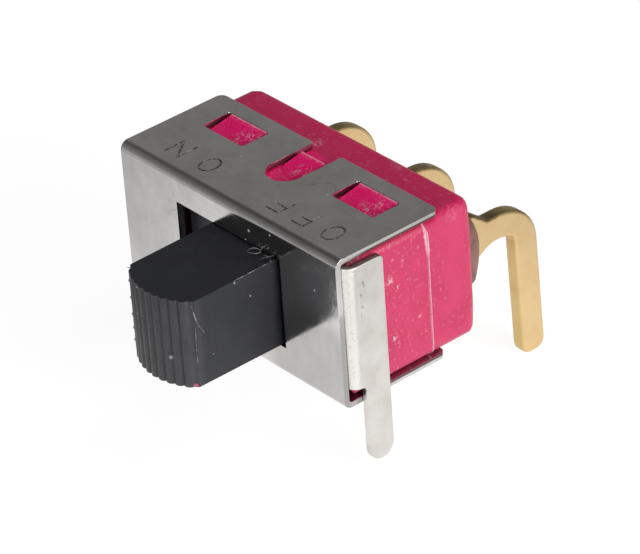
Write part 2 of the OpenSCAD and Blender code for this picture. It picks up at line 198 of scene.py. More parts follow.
def soft_lamp(name, place, size, watts):
    """A rectangular lamp turned towards the switch, with its place and size in millimetres."""
    lamp = bpy.data.objects.new(name, bpy.data.lights.new(name, "AREA"))
    bpy.context.scene.collection.objects.link(lamp)
    lamp.data.shape = "RECTANGLE"
    lamp.data.size, lamp.data.size_y = size[0] * MM, size[1] * MM
    lamp.data.energy = watts
    place = Vector(place) * MM
    lamp.matrix_world = Matrix.Translation(place) @ (place - aim).to_track_quat("Z", "Y").to_matrix().to_4x4()


soft_lamp("side_lamp", (260, 20, 90), (200, 140), 0.62)
soft_lamp("front_lamp", (40, -260, 60), (160, 120), 0.20)
soft_lamp("top_lamp", (120, 60, 260), (120, 120), 0.20)


# ---- Metal frame ----
# One folded sheet of steel: a front plate with a flap above and below, stamped, bent, then bright plated.
# Its sheared edges are a little rounded, rolling has left fine lines along it, and handling has scratched it.
def finished_copy(node, name, edge, segments=3, sharp=35):
    """A copy of a CAD node with its loose triangles joined and its sharp edges eased by bevels."""
    bpy.ops.object.select_all(action="DESELECT")
    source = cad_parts[node]
    piece = source.copy()
    piece.data = source.data.copy()
    for key in list(piece.keys()):
        del piece[key]
    piece.name = name
    bpy.context.scene.collection.objects.link(piece)
    piece.parent = None
    bpy.context.view_layer.objects.active = piece
    piece.select_set(True)
    bpy.ops.mesh.customdata_custom_splitnormals_clear()
    bpy.ops.object.mode_set(mode="EDIT")
    bpy.ops.mesh.select_all(action="SELECT")
    bpy.ops.mesh.remove_doubles(threshold=0.0005 * MM)
    bpy.ops.mesh.dissolve_limited(angle_limit=math.radians(0.5))
    bpy.ops.object.mode_set(mode="OBJECT")
    bevel = piece.modifiers.new("eased_edges", "BEVEL")
    bevel.width = edge * MM
    bevel.segments = segments
    bevel.limit_method = "ANGLE"
    bevel.angle_limit = math.radians(sharp)
    bpy.ops.object.modifier_apply(modifier=bevel.name)
    piece.data.materials.clear()
    return piece


def smooth_faces(piece, sharp=35):
    """Shades a piece smoothly over its curves and keeps its flat faces flat."""
    bpy.ops.object.select_all(action="DESELECT")
    bpy.context.view_layer.objects.active = piece
    piece.select_set(True)
    bpy.ops.object.shade_smooth_by_angle(angle=math.radians(sharp))
    weigh = piece.modifiers.new("flat_faces", "WEIGHTED_NORMAL")
    weigh.keep_sharp = True
    bpy.ops.object.modifier_apply(modifier=weigh.name)


def in_mm(flow, stretch=(1, 1, 1)):
    """The place on the piece, in millimetres, drawn out or squeezed along each axis."""
    place = flow.node("ShaderNodeTexCoord", None, None, "Object")
    by = tuple(1000.0 * share for share in stretch)
    return flow.node("ShaderNodeVectorMath", {"operation": "MULTIPLY"}, {0: place, 1: by})


def noise(flow, place, scale, detail=3.0):
    """A soft cloudy pattern, with so many clouds to the millimetre."""
    return flow.node("ShaderNodeTexNoise", None, {"Vector": place, "Scale": scale, "Detail": detail}, "Fac")


def thin_lines(clouds, level, thin, wide):
    """Thin wandering lines, drawn where a cloudy pattern passes through one level."""
    return (clouds - level).math("ABSOLUTE").step(thin, wide, 1.0, 0.0)


def near(flow, place, centre, inner, outer):
    """One within the inner radius of a place on the piece, falling to nothing at the outer one."""
    gap = flow.node("ShaderNodeVectorMath", {"operation": "DISTANCE"}, {0: place, 1: centre}, "Value")
    return gap.step(inner, outer, 1.0, 0.0)


def marks(flow, place, spots):
    """The strongest of several marks, each given by its centre, inner and outer radius, and weight."""
    strongest = None
    for centre, inner, outer, weight in spots:
        mark = near(flow, place, centre, inner, outer) * weight
        strongest = mark if strongest is None else strongest.math("MAXIMUM", mark)
    return strongest


def specks(flow, place, cells, size, share):
    """Scattered dots: so many cells to the millimetre, and only a share of them holds a dot."""
    gap = flow.node("ShaderNodeTexVoronoi", None, {"Vector": place, "Scale": cells}, "Distance")
    chance = flow.node("ShaderNodeSeparateColor", None, {0: gap.also("Color")}, "Red")
    dot = gap.step(0.4 * size * cells, size * cells, 1.0, 0.0)
    return dot * chance.math("LESS_THAN", share)


def mix(flow, share, first, second):
    """The first colour, with a share of the second laid over it."""
    return flow.node("ShaderNodeMix", {"data_type": "RGBA"}, {0: share, 6: first, 7: second}, 2)


def part_of(flow, place, axis):
    """The part of a place, or of a direction, that lies along one axis."""
    return flow.node("ShaderNodeSeparateXYZ", None, {0: place}, axis)


def facing(flow, axis):
    """How far a face looks along an axis, from -1 to 1."""
    return part_of(flow, flow.node("ShaderNodeTexCoord", None, None, "Normal"), axis)


plate_front, frame_end = low.y / MM, high.x / MM
flap_top, frame_middle = high.z / MM, (low.z + high.z) / 2 / MM
plating, start = new_material("bright_plating")
place = in_mm(start)
lines = noise(start, in_mm(start, (0.12, 3.0, 3.0)), 1.6, 3.0)
smears = noise(start, place, 0.55, 4.0)
mottle = noise(start, in_mm(start, (1.0, 1.0, 0.45)), 2.2, 3.0)
deep_scratch = thin_lines(noise(start, place, 0.32, 1.0), 0.5, 0.0005, 0.004) * smears.step(0.5, 0.6)
light_scratch = thin_lines(noise(start, in_mm(start, (0.6, 1.4, 1.0)), 0.45, 2.0), 0.47, 0.0005, 0.003)
scratch = deep_scratch.math("MAXIMUM", light_scratch * 0.7) * noise(start, place, 0.9).step(0.5, 0.62)
dust = specks(start, place, 0.9, 0.05, 0.5)
grains = marks(start, place, [
    ((x, plate_front, z), 0.4 * radius, radius, 1.0)
    for x, z, radius in ((1.33, 5.84, 0.08), (2.59, 6.17, 0.06), (1.10, 5.35, 0.05), (5.03, 4.80, 0.05))
])
# Two broad patches on the plate's left and lower right are painted darker grey: a painted reflection of the
# table where the switch shades it.
dim_reflection_patches = marks(start, place, (
    ((-5.2, plate_front, 2.6), 0.8, 3.2, 0.75),
    ((4.9, plate_front, 1.0), 2.1, 3.4, 1.0)
)) * mottle.step(0.3, 0.7, 0.84, 1.0)
cloudy = smears.step(0.35, 0.7) * 0.55 + mottle.step(0.35, 0.7) * 0.35 + lines.step(0.35, 0.7) * 0.1
colour = mix(start, cloudy, (0.70, 0.685, 0.67, 1), (0.57, 0.555, 0.54, 1))
colour = mix(start, dim_reflection_patches, colour, (0.47, 0.46, 0.45, 1))
colour = mix(start, scratch * 0.35, colour, (0.16, 0.155, 0.15, 1))
ghost = thin_lines(noise(start, place, 0.38, 0.0), 0.5, 0.004, 0.022)
ghost = ghost * near(start, place, (2.0, 2.5, flap_top), 0.7, 1.8) * smears.step(0.3, 0.55, 0.3, 1.0)
colour = mix(start, ghost * 0.28, colour, (0.20, 0.19, 0.18, 1))
edge_on = facing(start, "X").math("ABSOLUTE").step(0.75, 0.95)
behind = part_of(start, place, "Y")
rise = part_of(start, place, "Z")
outward = (rise - frame_middle).math("ABSOLUTE")
# The inner band of the flaps' end faces, next to the case, is painted dark red: partly the dull fracture zone
# of the shear, partly a painted reflection of the red case. The fracture also makes it rougher.
fracture_and_red_reflection = edge_on * outward.step(3.13, 3.18, 1.0, 0.0) * outward.step(3.0, 3.03)
fracture_and_red_reflection = fracture_and_red_reflection * behind.step(-1.1, 0.3)
colour = mix(start, fracture_and_red_reflection * 0.9, colour, (0.10, 0.028, 0.034, 1))
plate_edge = edge_on * behind.step(-1.3, -1.1, 1.0, 0.0) * rise.step(4.0, 4.4, 1.0, 0.0)
colour = mix(start, plate_edge * (smears * 0.5 + 0.5), colour, (0.36, 0.35, 0.33, 1))
colour = mix(start, dust, colour, (0.95, 0.95, 0.95, 1))
colour = mix(start, grains, colour, (0.80, 0.79, 0.77, 1))
roughness = mottle.step(0.3, 0.75, 0.11, 0.17) + smears.step(0.4, 0.7, 0.0, 0.08)
roughness = roughness + fracture_and_red_reflection * 0.3 + dust * 0.5
# A lighter strip along the plate's right edge, drawn out upright and streaked, is a painted sheen of light
# there. It is also made rougher.
brushed = noise(start, in_mm(start, (1.5, 1.0, 0.7)), 5.0, 3.0).step(0.35, 0.65)
sheen_squash, sheen_height = 0.6, 4.75
drawn_up = in_mm(start, (1.0, 1.0, sheen_squash))
wear_and_sheen = near(start, drawn_up, (frame_end, plate_front, sheen_squash * sheen_height), 0.1, 0.8)
wear_and_sheen = wear_and_sheen * (brushed * 0.6 + 0.4)
colour = mix(start, wear_and_sheen * 0.15, colour, (0.90, 0.88, 0.85, 1))
# A broad patch on the plate's upper right, away from its edge faces, is painted near white: a painted
# highlight. It is also made a little rougher.
highlight_patch = near(start, place, (5.5, plate_front, 5.2), 0.5, 2.0) * (1 - edge_on)
colour = mix(start, highlight_patch * 0.75, colour, (0.95, 0.94, 0.92, 1))
roughness = roughness + wear_and_sheen * 0.16 + highlight_patch * 0.03
height = mottle + lines * 0.3 - scratch * 0.5
skin = start.node("ShaderNodeBump", None, {"Strength": 0.05, "Distance": 0.02 * MM, "Height": height})
shader = start.node("ShaderNodeBsdfPrincipled", None, {
    "Base Color": colour, "Metallic": 1 - grains * 0.9, "Roughness": roughness, "Normal": skin
})
finish_material(start, shader)

etched, start = new_material("etched_strokes")
place = in_mm(start)
worn = noise(start, place, 5.0)
colour = mix(start, worn.step(0.4, 0.65), (0.12, 0.115, 0.11, 1), (0.42, 0.41, 0.40, 1))
shader = start.node("ShaderNodeBsdfPrincipled", None, {
    "Base Color": colour, "Metallic": 0.8, "Roughness": worn.step(0.3, 0.7, 0.3, 0.55)
})
finish_material(start, shader)

metal_frame = finished_copy("housing", "metal_frame", 0.10, segments=4)
metal_frame.data.materials.append(plating)
metal_frame.data.materials.append(etched)

# The words ON and OFF are engraved in thin strokes along the upper flap, upside down from the front.
stroke_w, stroke_cut, letter_h, letter_w = 0.085, 0.02, 0.98, 0.74
stroke_overlap, letter_row = 0.6 * stroke_w, -0.15
ring_sides = 16
turns = [2 * math.pi * side / ring_sides for side in range(ring_sides + 1)]
ring = [(0.5 * math.sin(turn), 0.5 * math.cos(turn)) for turn in turns]
letters = {
    "O": list(zip(ring, ring[1:])),
    "N": [((-0.5, -0.5), (-0.5, 0.5)), ((-0.5, 0.5), (0.5, -0.5)), ((0.5, -0.5), (0.5, 0.5))],
    "F": [((-0.4, -0.5), (-0.4, 0.5)), ((-0.4, 0.5), (0.5, 0.5)), ((-0.4, 0.05), (0.3, 0.05))],
}
bpy.ops.object.select_all(action="DESELECT")
cutters = []
for letter, letter_x in (("O", -2.45), ("N", -4.2), ("O", 4.75), ("F", 3.25), ("F", 1.85)):
    for stroke in letters[letter]:
        first, last = [
            Vector((letter_x - x * letter_w, letter_row - y * letter_h, flap_top)) for x, y in stroke
        ]
        run = last - first
        bpy.ops.mesh.primitive_cube_add(
            size=1.0, location=(first + last) / 2 * MM, rotation=(0, 0, math.atan2(run.y, run.x))
        )
        cutter = bpy.context.object
        cutter.scale = ((run.length + stroke_overlap) * MM, stroke_w * MM, 2 * stroke_cut * MM)
        cutters.append(cutter)
for cutter in cutters:
    cutter.select_set(True)
bpy.context.view_layer.objects.active = cutters[0]
bpy.ops.object.transform_apply(location=False, rotation=True, scale=True)
bpy.ops.object.join()
stamp = bpy.context.object
stamp.data.materials.append(etched)
bpy.ops.object.select_all(action="DESELECT")
bpy.context.view_layer.objects.active = metal_frame
metal_frame.select_set(True)
engrave = metal_frame.modifiers.new("engraving", "BOOLEAN")
engrave.object = stamp
engrave.operation = "DIFFERENCE"
engrave.solver = "EXACT"
engrave.use_self = True
bpy.ops.object.modifier_apply(modifier=engrave.name)
bpy.data.objects.remove(stamp)
smooth_faces(metal_frame)
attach(metal_frame, "switch_body")
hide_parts("housing")

# ---- Support bracket ----
# A second sheet, tinned to a satin white, lies behind the front plate and is bent back round both ends.
# Each end narrows into a round-tipped leg, and its coating is lumpy over the bends and pitted with age.
bracket_end, drawn_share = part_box("support_bracket")[1].x / MM, 0.35
tin, start = new_material("satin_tin")
place = in_mm(start)
clouds = noise(start, place, 1.2, 4.0)
brushed = noise(start, in_mm(start, (1.0, 1.0, 0.12)), 5.0, 3.0)
across = part_of(start, place, "X").math("ABSOLUTE")
ahead = part_of(start, place, "Y")
bend = ahead.step(-0.98, -0.80, 1.0, 0.0) * across.step(6.1, 6.3)
lumps = noise(start, place, 7.0, 3.0)
pits = specks(start, place, 1.1, 0.06, 0.5) * noise(start, place, 0.8).step(0.45, 0.6)
eaten = noise(start, in_mm(start, (1.0, 1.0, 0.5)), 7.0, 4.0)
drawn_down = in_mm(start, (1.0, 1.0, drawn_share))
for mark_y, mark_z in ((-0.50, 5.25), (-0.56, 4.75), (-0.58, 4.25), (-0.75, 1.95), (-0.70, 0.55)):
    mark = near(start, drawn_down, (bracket_end, mark_y, drawn_share * mark_z), 0.04, 0.15)
    pits = pits.math("MAXIMUM", mark * eaten.step(0.50, 0.62) * 0.6)
spots = specks(start, place, 3.2, 0.03, 0.3)
colour = mix(start, clouds.step(0.35, 0.7), (0.74, 0.71, 0.67, 1), (0.65, 0.62, 0.58, 1))
colour = mix(start, bend * 0.9, colour, (0.90, 0.87, 0.83, 1))
# Faces that look up, the bracket's top edges under the flap, are painted dark brown: painted shade.
colour = mix(start, facing(start, "Z").step(0.6, 0.9) * 0.7, colour, (0.30, 0.26, 0.22, 1))
colour = mix(start, bend * lumps.step(0.55, 0.7) * 0.5, colour, (0.62, 0.59, 0.54, 1))
colour = mix(start, pits.math("MAXIMUM", spots * 0.5), colour, (0.13, 0.11, 0.09, 1))
roughness = clouds.step(0.3, 0.7, 0.28, 0.38) + bend * 0.16 + brushed.step(0.4, 0.7, 0.0, 0.06)
height = lumps * bend * 0.6 + clouds * 0.25 + brushed * 0.1 - pits
skin = start.node("ShaderNodeBump", None, {"Strength": 0.5, "Distance": 0.03 * MM, "Height": height})
shader = start.node("ShaderNodeBsdfPrincipled", None, {
    "Base Color": colour, "Metallic": 1.0, "Roughness": roughness, "Normal": skin
})
finish_material(start, shader)
bracket = finished_copy("support_bracket", "bracket", 0.05)
bracket.data.materials.append(tin)
smooth_faces(bracket)
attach(bracket, "switch_body")
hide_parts("support_bracket")

# ---- Case ----
# A red block of filled plastic, moulded in two halves of a tool, so a scuffed seam runs round it.
# Its wedges snapped into the frame's windows and were scraped there, and its scratches show pale filler.
case_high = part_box("case")[1]
seam_flash, parting_line, case_top, case_foot = 0.03, 3.07, 6.30, 0.30
end_x, rear_y = case_high.x / MM - seam_flash, case_high.y / MM
mid_z, half_h = (case_top + case_foot) / 2, (case_top - case_foot) / 2
red, start = new_material("red_moulding")
place = in_mm(start)
clouds = noise(start, place, 0.8, 5.0)
fine = noise(start, place, 9.0, 4.0)
ahead = part_of(start, place, "Y")
rise = part_of(start, place, "Z")
wave = noise(start, place, 2.5, 3.0)
seam_line = rise.step(5.0, 6.3, parting_line, parting_line - 0.11)
seam_gap = (ahead - seam_line - (wave - 0.5) * 0.05).math("ABSOLUTE")
swollen = near(start, place, (end_x, parting_line - 0.02, 5.45), 0.25, 0.75)
seam_half = swollen * 0.05 + (fine - 0.5) * 0.06 + 0.045
seam = (seam_gap - seam_half).step(-0.02, 0.03, 1.0, 0.0) * fine.step(0.28, 0.45, 0.3, 1.0)
seam = seam * (swollen * 0.35 + 0.65)
flecks = specks(start, place, 1.7, 0.04, 0.35).math("MAXIMUM", specks(start, place, 4.0, 0.022, 0.3) * 0.6)
flecks = flecks * fine.step(0.42, 0.52) * ahead.step(2.6, 3.8, 1.0, 0.2)
ragged = noise(start, place, 6.0, 5.0)
scuffs = ragged.step(0.57, 0.66) * clouds.step(0.42, 0.62)
worst = marks(start, place, (
    ((end_x, 1.12, 4.60), 0.08, 0.26, 1.0),
    ((end_x, 1.43, 4.15), 0.04, 0.14, 1.0),
    ((end_x, 1.80, 5.28), 0.05, 0.16, 1.0),
    ((end_x, 1.20, 2.05), 0.06, 0.22, 1.0),
    ((end_x, 2.48, 2.44), 0.04, 0.14, 1.0),
    ((6.25, 4.40, 6.10), 0.10, 0.70, 0.12),
    ((-1.10, 4.10, case_top), 0.12, 0.40, 0.5),
    ((2.50, 5.20, 6.25), 0.10, 0.60, 0.25)
))
shreds = noise(start, in_mm(start, (1.0, 1.0, 0.6)), 9.0, 5.0)
scribble = thin_lines(noise(start, place, 3.2, 2.0), 0.5, 0.008, 0.035)
scraped = worst * shreds.step(0.50, 0.60).math("MAXIMUM", scribble * fine.step(0.4, 0.5))
strokes = thin_lines(noise(start, in_mm(start, (1.0, 1.0, 0.5)), 3.4, 2.0), 0.52, 0.006, 0.02)
strokes = strokes * ragged.step(0.52, 0.60) * ahead.step(1.2, 3.4, 1.0, 0.2)
wedge = rise.step(case_foot - 0.06, case_foot - 0.02, 1.0, 0.0)
wedge = wedge.math("MAXIMUM", rise.step(case_top + 0.02, case_top + 0.06))
crest = rise.step(case_top + 0.22, case_top + 0.27) * shreds.step(0.45, 0.55)
caught = marks(start, place, (
    ((-3.05, 2.15, 6.5), 0.30, 0.85, 1.0),
    ((0.25, 2.10, 6.5), 0.15, 0.60, 1.0),
    ((4.30, 2.10, 6.5), 0.30, 0.90, 1.0)
))
curled = thin_lines(noise(start, place, 3.4, 3.0), 0.5, 0.006, 0.045) * fine.step(0.38, 0.5)
torn = caught * curled.math("MAXIMUM", shreds.step(0.62, 0.68) * 0.4)
worn = wedge * torn.math("MAXIMUM", crest * 0.22)
across = part_of(start, place, "X").math("ABSOLUTE")
# The case's upper edge under the flap is painted a deeper, darker red in ragged patches: painted shade cast
# by the flap.
shade_under_flap = rise.step(5.95, 6.2) * ahead.step(3.5, 3.7, 1.0, 0.0)
between = shade_under_flap * rise.step(case_top - 0.05, case_top - 0.01) * across.step(0.80, 0.84, 1.0, 0.0)
colour = mix(start, clouds.step(0.35, 0.7), (0.575, 0.036, 0.122, 1), (0.51, 0.029, 0.104, 1))
# Faces that look up are painted a deeper, darker red: painted shade on the case's top.
colour = mix(start, facing(start, "Z").step(0.5, 0.95) * 0.9, colour, (0.58, 0.004, 0.088, 1))
colour = mix(start, shade_under_flap * (ragged.step(0.3, 0.6) * 0.4 + 0.5), colour, (0.44, 0.002, 0.05, 1))
# The wedges, and the case's top inside the middle window under the flap, are painted a brighter, more
# saturated red: partly painted light bounced on to them by the window edges and red walls, partly fresher
# plastic.
colour = mix(start, wedge.math("MAXIMUM", between) * 0.95, colour, (0.86, 0.0, 0.15, 1))
# The front top corner of each end face, tucked under the flap, is painted nearly black red: painted shade.
flap_shade_corner = across.step(5.6, 6.2) * ahead.step(-0.6, 0.2, 1.0, 0.0) * rise.step(5.5, 5.8)
colour = mix(start, flap_shade_corner * 0.8, colour, (0.13, 0.010, 0.022, 1))
colour = mix(start, (scuffs * 0.2 + 0.01) * (1 - wedge), colour, (0.80, 0.35, 0.45, 1))
colour = mix(start, strokes * (1 - wedge) * 0.28, colour, (0.88, 0.60, 0.68, 1))
colour = mix(start, scraped * 0.8, colour, (0.85, 0.55, 0.62, 1))
colour = mix(start, worn * 0.6, colour, (0.90, 0.50, 0.62, 1))
colour = mix(start, seam * 0.7, colour, (0.88, 0.55, 0.62, 1))
colour = mix(start, flecks * (1 - wedge * 0.85) * 0.7, colour, (0.90, 0.66, 0.72, 1))
roughness = clouds.step(0.3, 0.7, 0.36, 0.46) + scraped * 0.2 + seam * 0.2 + wedge * 0.12
height = fine * 0.35 + clouds + seam * 0.8 + scraped * 0.7 + worn * 1.5 + wedge * ragged * 2.5 + flecks
skin = start.node("ShaderNodeBump", None, {"Strength": 0.55, "Distance": 0.03 * MM, "Height": height})
shader = start.node("ShaderNodeBsdfPrincipled", None, {
    "Base Color": colour, "Roughness": roughness, "Specular IOR Level": 0.35, "Normal": skin
})
finish_material(start, shader)
red_case = finished_copy("case", "red_case", 0.05)
red_case.data.materials.append(red)


def slice_across(piece, axis, places):
    """Cuts a piece's faces along planes at right angles to an axis, so that they can be curved there."""
    bpy.ops.object.select_all(action="DESELECT")
    bpy.context.view_layer.objects.active = piece
    piece.select_set(True)
    bpy.ops.object.mode_set(mode="EDIT")
    normal = [0, 0, 0]
    normal[axis] = 1
    for place in places:
        bpy.ops.mesh.select_all(action="SELECT")
        bpy.ops.mesh.bisect(plane_co=[way * place * MM for way in normal], plane_no=normal)
    bpy.ops.object.mode_set(mode="OBJECT")


# The upright rear edges are tight at mid height, and open out to round corners at the case's top and foot.
waist_r, corner_r, edge_r, ball_r = 0.42, 0.62, 0.32, 0.40
inward = (0.62, 0.50, 0.40, 0.32, 0.24, 0.17, 0.11, 0.06, 0.02)
slice_across(red_case, 0, [way * (end_x - deep) for deep in inward for way in (-1, 1)])
slice_across(red_case, 1, [rear_y - deep for deep in inward])
slice_across(red_case, 2, [mid_z + way * (half_h - deep) for deep in inward[1:] for way in (-1, 1)])
slice_across(red_case, 2, [mid_z + way * half_h * part for part in (0.5, 0.65, 0.75) for way in (-1, 1)])
for vertex in red_case.data.vertices:
    place = vertex.co / MM
    turn_r = waist_r + (corner_r - waist_r) * min(1, abs(place.z - mid_z) / half_h) ** 3
    x_in, y_in = abs(place.x) - (end_x - turn_r), place.y - (rear_y - turn_r)
    reach = math.hypot(x_in, y_in)
    if x_in <= 0 or y_in <= 0:
        continue
    round_r = edge_r + (min(ball_r, turn_r) - edge_r) * (2 * x_in * y_in / reach ** 2)
    if reach < turn_r - round_r:
        continue
    way = Vector((math.copysign(x_in / reach, place.x), y_in / reach, 0))
    upward = Vector((0, 0, math.copysign(1, place.z - mid_z)))
    out = reach - (turn_r - round_r)
    over = max(0, abs(place.z - mid_z) - (half_h - round_r))
    spread = math.hypot(out, over)
    if spread > round_r:
        vertex.co = (place + (way * out + upward * over) * (round_r / spread - 1)) * MM
smooth_faces(red_case)
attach(red_case, "switch_body")
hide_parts("case")

# ---- Actuator ----
# A black nylon slider, moulded in one piece with its ribbed finger end and the flange behind the plate.
# Worn tooling has left thin curls of flash along its edges, and they have turned pale where they bent.
nylon, start = new_material("black_nylon")
place = in_mm(start)
clouds = noise(start, place, 0.9, 4.0)
fine = noise(start, place, 14.0, 3.0)
drawn = noise(start, in_mm(start, (1.0, 1.0, 0.2)), 6.0, 3.0)
dots = specks(start, place, 1.1, 0.05, 0.35)
colour = mix(start, clouds.step(0.35, 0.7), (0.009, 0.010, 0.014, 1), (0.013, 0.014, 0.018, 1))
upright_face = facing(start, "Z").math("ABSOLUTE").step(0.3, 0.6, 1.0, 0.0)
wear_and_sheen = part_of(start, place, "Y").step(-5.6, -5.0, 1.0, 0.0) * drawn.step(0.35, 0.65, 0.6, 1.0)
wear_and_sheen = wear_and_sheen * upright_face
colour = mix(start, wear_and_sheen * 0.85, colour, (0.052, 0.052, 0.056, 1))
colour = mix(start, dots * 0.5, colour, (0.5, 0.5, 0.5, 1))
through = 0.3
shallow = in_mm(start, (1.0, through, 1.0))
front_nicks = marks(start, shallow, [
    ((x, -6.1 * through, z), 0.4 * radius, radius, 1.0)
    for x, z, radius in ((1.94, 2.59, 0.11), (0.32, 5.04, 0.06), (0.19, 3.81, 0.06))
])
side_nicks = marks(start, place, (
    ((2.88, -3.51, 5.13), 0.02, 0.06, 1.0),
    ((2.88, -2.81, 4.23), 0.02, 0.06, 1.0)
))
nicks = side_nicks.math("MAXIMUM", front_nicks * fine.step(0.35, 0.5))
colour = mix(start, nicks * 0.8, colour, (0.42, 0.42, 0.44, 1))
red_dust = near(start, shallow, (2.70, -5.5 * through, 1.48), 0.05, 0.10)
colour = mix(start, red_dust * 0.8, colour, (0.62, 0.12, 0.22, 1))
roughness = clouds.step(0.3, 0.7, 0.44, 0.52) + drawn.step(0.4, 0.7, 0.0, 0.05)
height = fine * 0.5 + drawn * 0.6 + clouds * 0.8 + dots
skin = start.node("ShaderNodeBump", None, {"Strength": 0.35, "Distance": 0.03 * MM, "Height": height})
shader = start.node("ShaderNodeBsdfPrincipled", None, {
    "Base Color": colour, "Roughness": roughness, "Normal": skin
})
finish_material(start, shader)

pale, start = new_material("stretched_flash")
place = in_mm(start)
patchy = noise(start, place, 4.0)
colour = mix(start, patchy.step(0.42, 0.62), (0.05, 0.05, 0.055, 1), (0.30, 0.30, 0.31, 1))
shader = start.node("ShaderNodeBsdfPrincipled", None, {
    "Base Color": colour, "Roughness": patchy.step(0.3, 0.7, 0.35, 0.6)
})
finish_material(start, shader)

slider = finished_copy("actuator", "slider_moulding", 0.04)
slider.data.materials.append(nylon)


def sliver(name, thick, points):
    """A thin curl of flash: a smooth line through the points, given a round section and then a mesh."""
    curve = bpy.data.curves.new(name, "CURVE")
    curve.dimensions = "3D"
    curve.bevel_depth = thick * MM
    curve.bevel_resolution = 1
    curve.resolution_u = 4
    curve.use_fill_caps = True
    line = curve.splines.new("NURBS")
    line.points.add(len(points) - 1)
    for point, place in zip(line.points, points):
        point.co = (*(Vector(place) * MM), 1)
        point.radius = 1.0
    line.points[0].radius = line.points[-1].radius = 0.25
    line.order_u = 3
    line.use_endpoint_u = True
    piece = bpy.data.objects.new(name, curve)
    bpy.context.scene.collection.objects.link(piece)
    bpy.ops.object.select_all(action="DESELECT")
    bpy.context.view_layer.objects.active = piece
    piece.select_set(True)
    bpy.ops.object.convert(target="MESH")
    piece.data.materials.append(pale)
    return piece


curls = [
    sliver("edge_curl", 0.022, [
        (2.84, -5.60, 5.20), (2.875, -5.55, 4.85), (2.88, -5.48, 4.46), (2.89, -5.38, 4.12),
        (2.96, -5.26, 3.90), (3.02, -5.20, 3.80)
    ]),
    sliver("edge_line", 0.014, [
        (2.87, -5.50, 4.10), (2.86, -5.52, 3.60), (2.84, -5.52, 3.23), (2.82, -5.50, 2.60),
        (2.80, -5.47, 2.00)
    ]),
    sliver("top_loop", 0.020, [
        (1.62, -1.84, 5.23), (1.60, -1.62, 5.27), (1.86, -1.53, 5.32), (2.16, -1.56, 5.33),
        (2.14, -1.72, 5.29), (1.90, -1.86, 5.25), (1.66, -1.88, 5.23)
    ]),
    sliver("top_curl", 0.020, [
        (2.08, -1.58, 5.28), (2.12, -1.53, 5.42), (2.22, -1.50, 5.56), (2.34, -1.50, 5.58)
    ]),
    sliver("top_thread", 0.024, [
        (2.38, -1.90, 5.23), (2.52, -1.68, 5.27), (2.70, -1.56, 5.33), (2.84, -1.51, 5.42)
    ]),
    sliver("short_thread", 0.018, [
        (2.30, -1.62, 5.23), (2.52, -1.60, 5.31), (2.72, -1.66, 5.28), (2.86, -1.72, 5.23)
    ]),
    sliver("corner_chip", 0.026, [(-0.72, -5.56, 5.16), (-0.79, -5.62, 5.19), (-0.85, -5.67, 5.20)]),
    sliver("long_burr", 0.014, [
        (2.86, -3.60, 5.22), (2.875, -3.00, 5.235), (2.87, -2.40, 5.24), (2.88, -1.90, 5.245),
        (2.88, -1.52, 5.23)
    ])
]
for burr_z, burr_reach in ((4.55, 0.035), (3.80, 0.02), (3.05, 0.04), (2.45, 0.02), (1.90, 0.035)):
    curls.append(sliver("side_burr", 0.03, [
        (-0.89, -5.58, burr_z - 0.08), (-0.91 - burr_reach, -5.60, burr_z), (-0.89, -5.58, burr_z + 0.06)
    ]))
bpy.ops.object.select_all(action="DESELECT")
for curl in curls:
    curl.select_set(True)
bpy.context.view_layer.objects.active = slider
slider.select_set(True)
bpy.ops.object.join()
smooth_faces(slider)
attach(slider, "slider")
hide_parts("actuator")

# ---- Terminals ----
# Three flat stampings of brass, plated a pale satin gold, pass through the case and turn down to the board.
# Their sheared edges are rolled over, and resin and flux have dulled them where they leave the case.
gold, start = new_material("pale_gold")
place = in_mm(start)
clouds = noise(start, place, 1.1, 4.0)
fine = noise(start, place, 12.0, 3.0)
behind = part_of(start, place, "Y")
stain = behind.step(5.4, 8.0, 1.0, 0.0) * noise(start, place, 2.2, 3.0).step(0.35, 0.6, 0.35, 1.0)
colour = mix(start, clouds.step(0.35, 0.7), (0.80, 0.59, 0.31, 1), (0.76, 0.54, 0.27, 1))
sideways, upward = facing(start, "X"), facing(start, "Z")
sheared = sideways.math("ABSOLUTE").step(0.3, 0.85, 1.0, 0.0)
upper = upward.step(0.15, 0.6) * behind.step(8.6, 9.6, 1.0, 0.0)
# The cut edge faces are painted a darker gold: partly their rougher cut, partly painted shade.
colour = mix(start, sheared * 0.8, colour, (0.63, 0.46, 0.19, 1))
# Upward faces are painted dark olive, fading out towards the back: painted shade on the terminals' tops.
colour = mix(start, upper * 0.65, colour, (0.36, 0.27, 0.10, 1))
colour = mix(start, stain * sheared * 0.5, colour, (0.30, 0.22, 0.10, 1))
topping = upward.step(0.2, 0.6)
blotch = noise(start, place, 1.7, 4.0).step(0.46, 0.62) * topping
colour = mix(start, blotch * 0.5, colour, (0.20, 0.145, 0.085, 1))
collar = behind.step(7.3, 8.3, 1.0, 0.0) * topping * fine.step(0.3, 0.6, 0.5, 1.0)
colour = mix(start, collar * 0.7, colour, (0.15, 0.10, 0.055, 1))
dots = specks(start, place, 1.6, 0.03, 0.5)
colour = mix(start, dots * 0.6, colour, (0.25, 0.18, 0.09, 1))
roughness = clouds.step(0.3, 0.7, 0.34, 0.44) + stain * 0.08 + sheared * 0.04
height = fine * 0.4 + clouds - dots
skin = start.node("ShaderNodeBump", None, {"Strength": 0.3, "Distance": 0.03 * MM, "Height": height})
shader = start.node("ShaderNodeBsdfPrincipled", None, {
    "Base Color": colour, "Metallic": 1.0, "Roughness": roughness, "Normal": skin
})
finish_material(start, shader)
for side in ("left", "common", "right"):
    terminal = finished_copy("terminal_" + side, side + "_terminal", 0.16, segments=4)
    terminal.data.materials.append(gold)
    smooth_faces(terminal)
    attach(terminal, "switch_body")
    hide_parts("terminal_" + side)

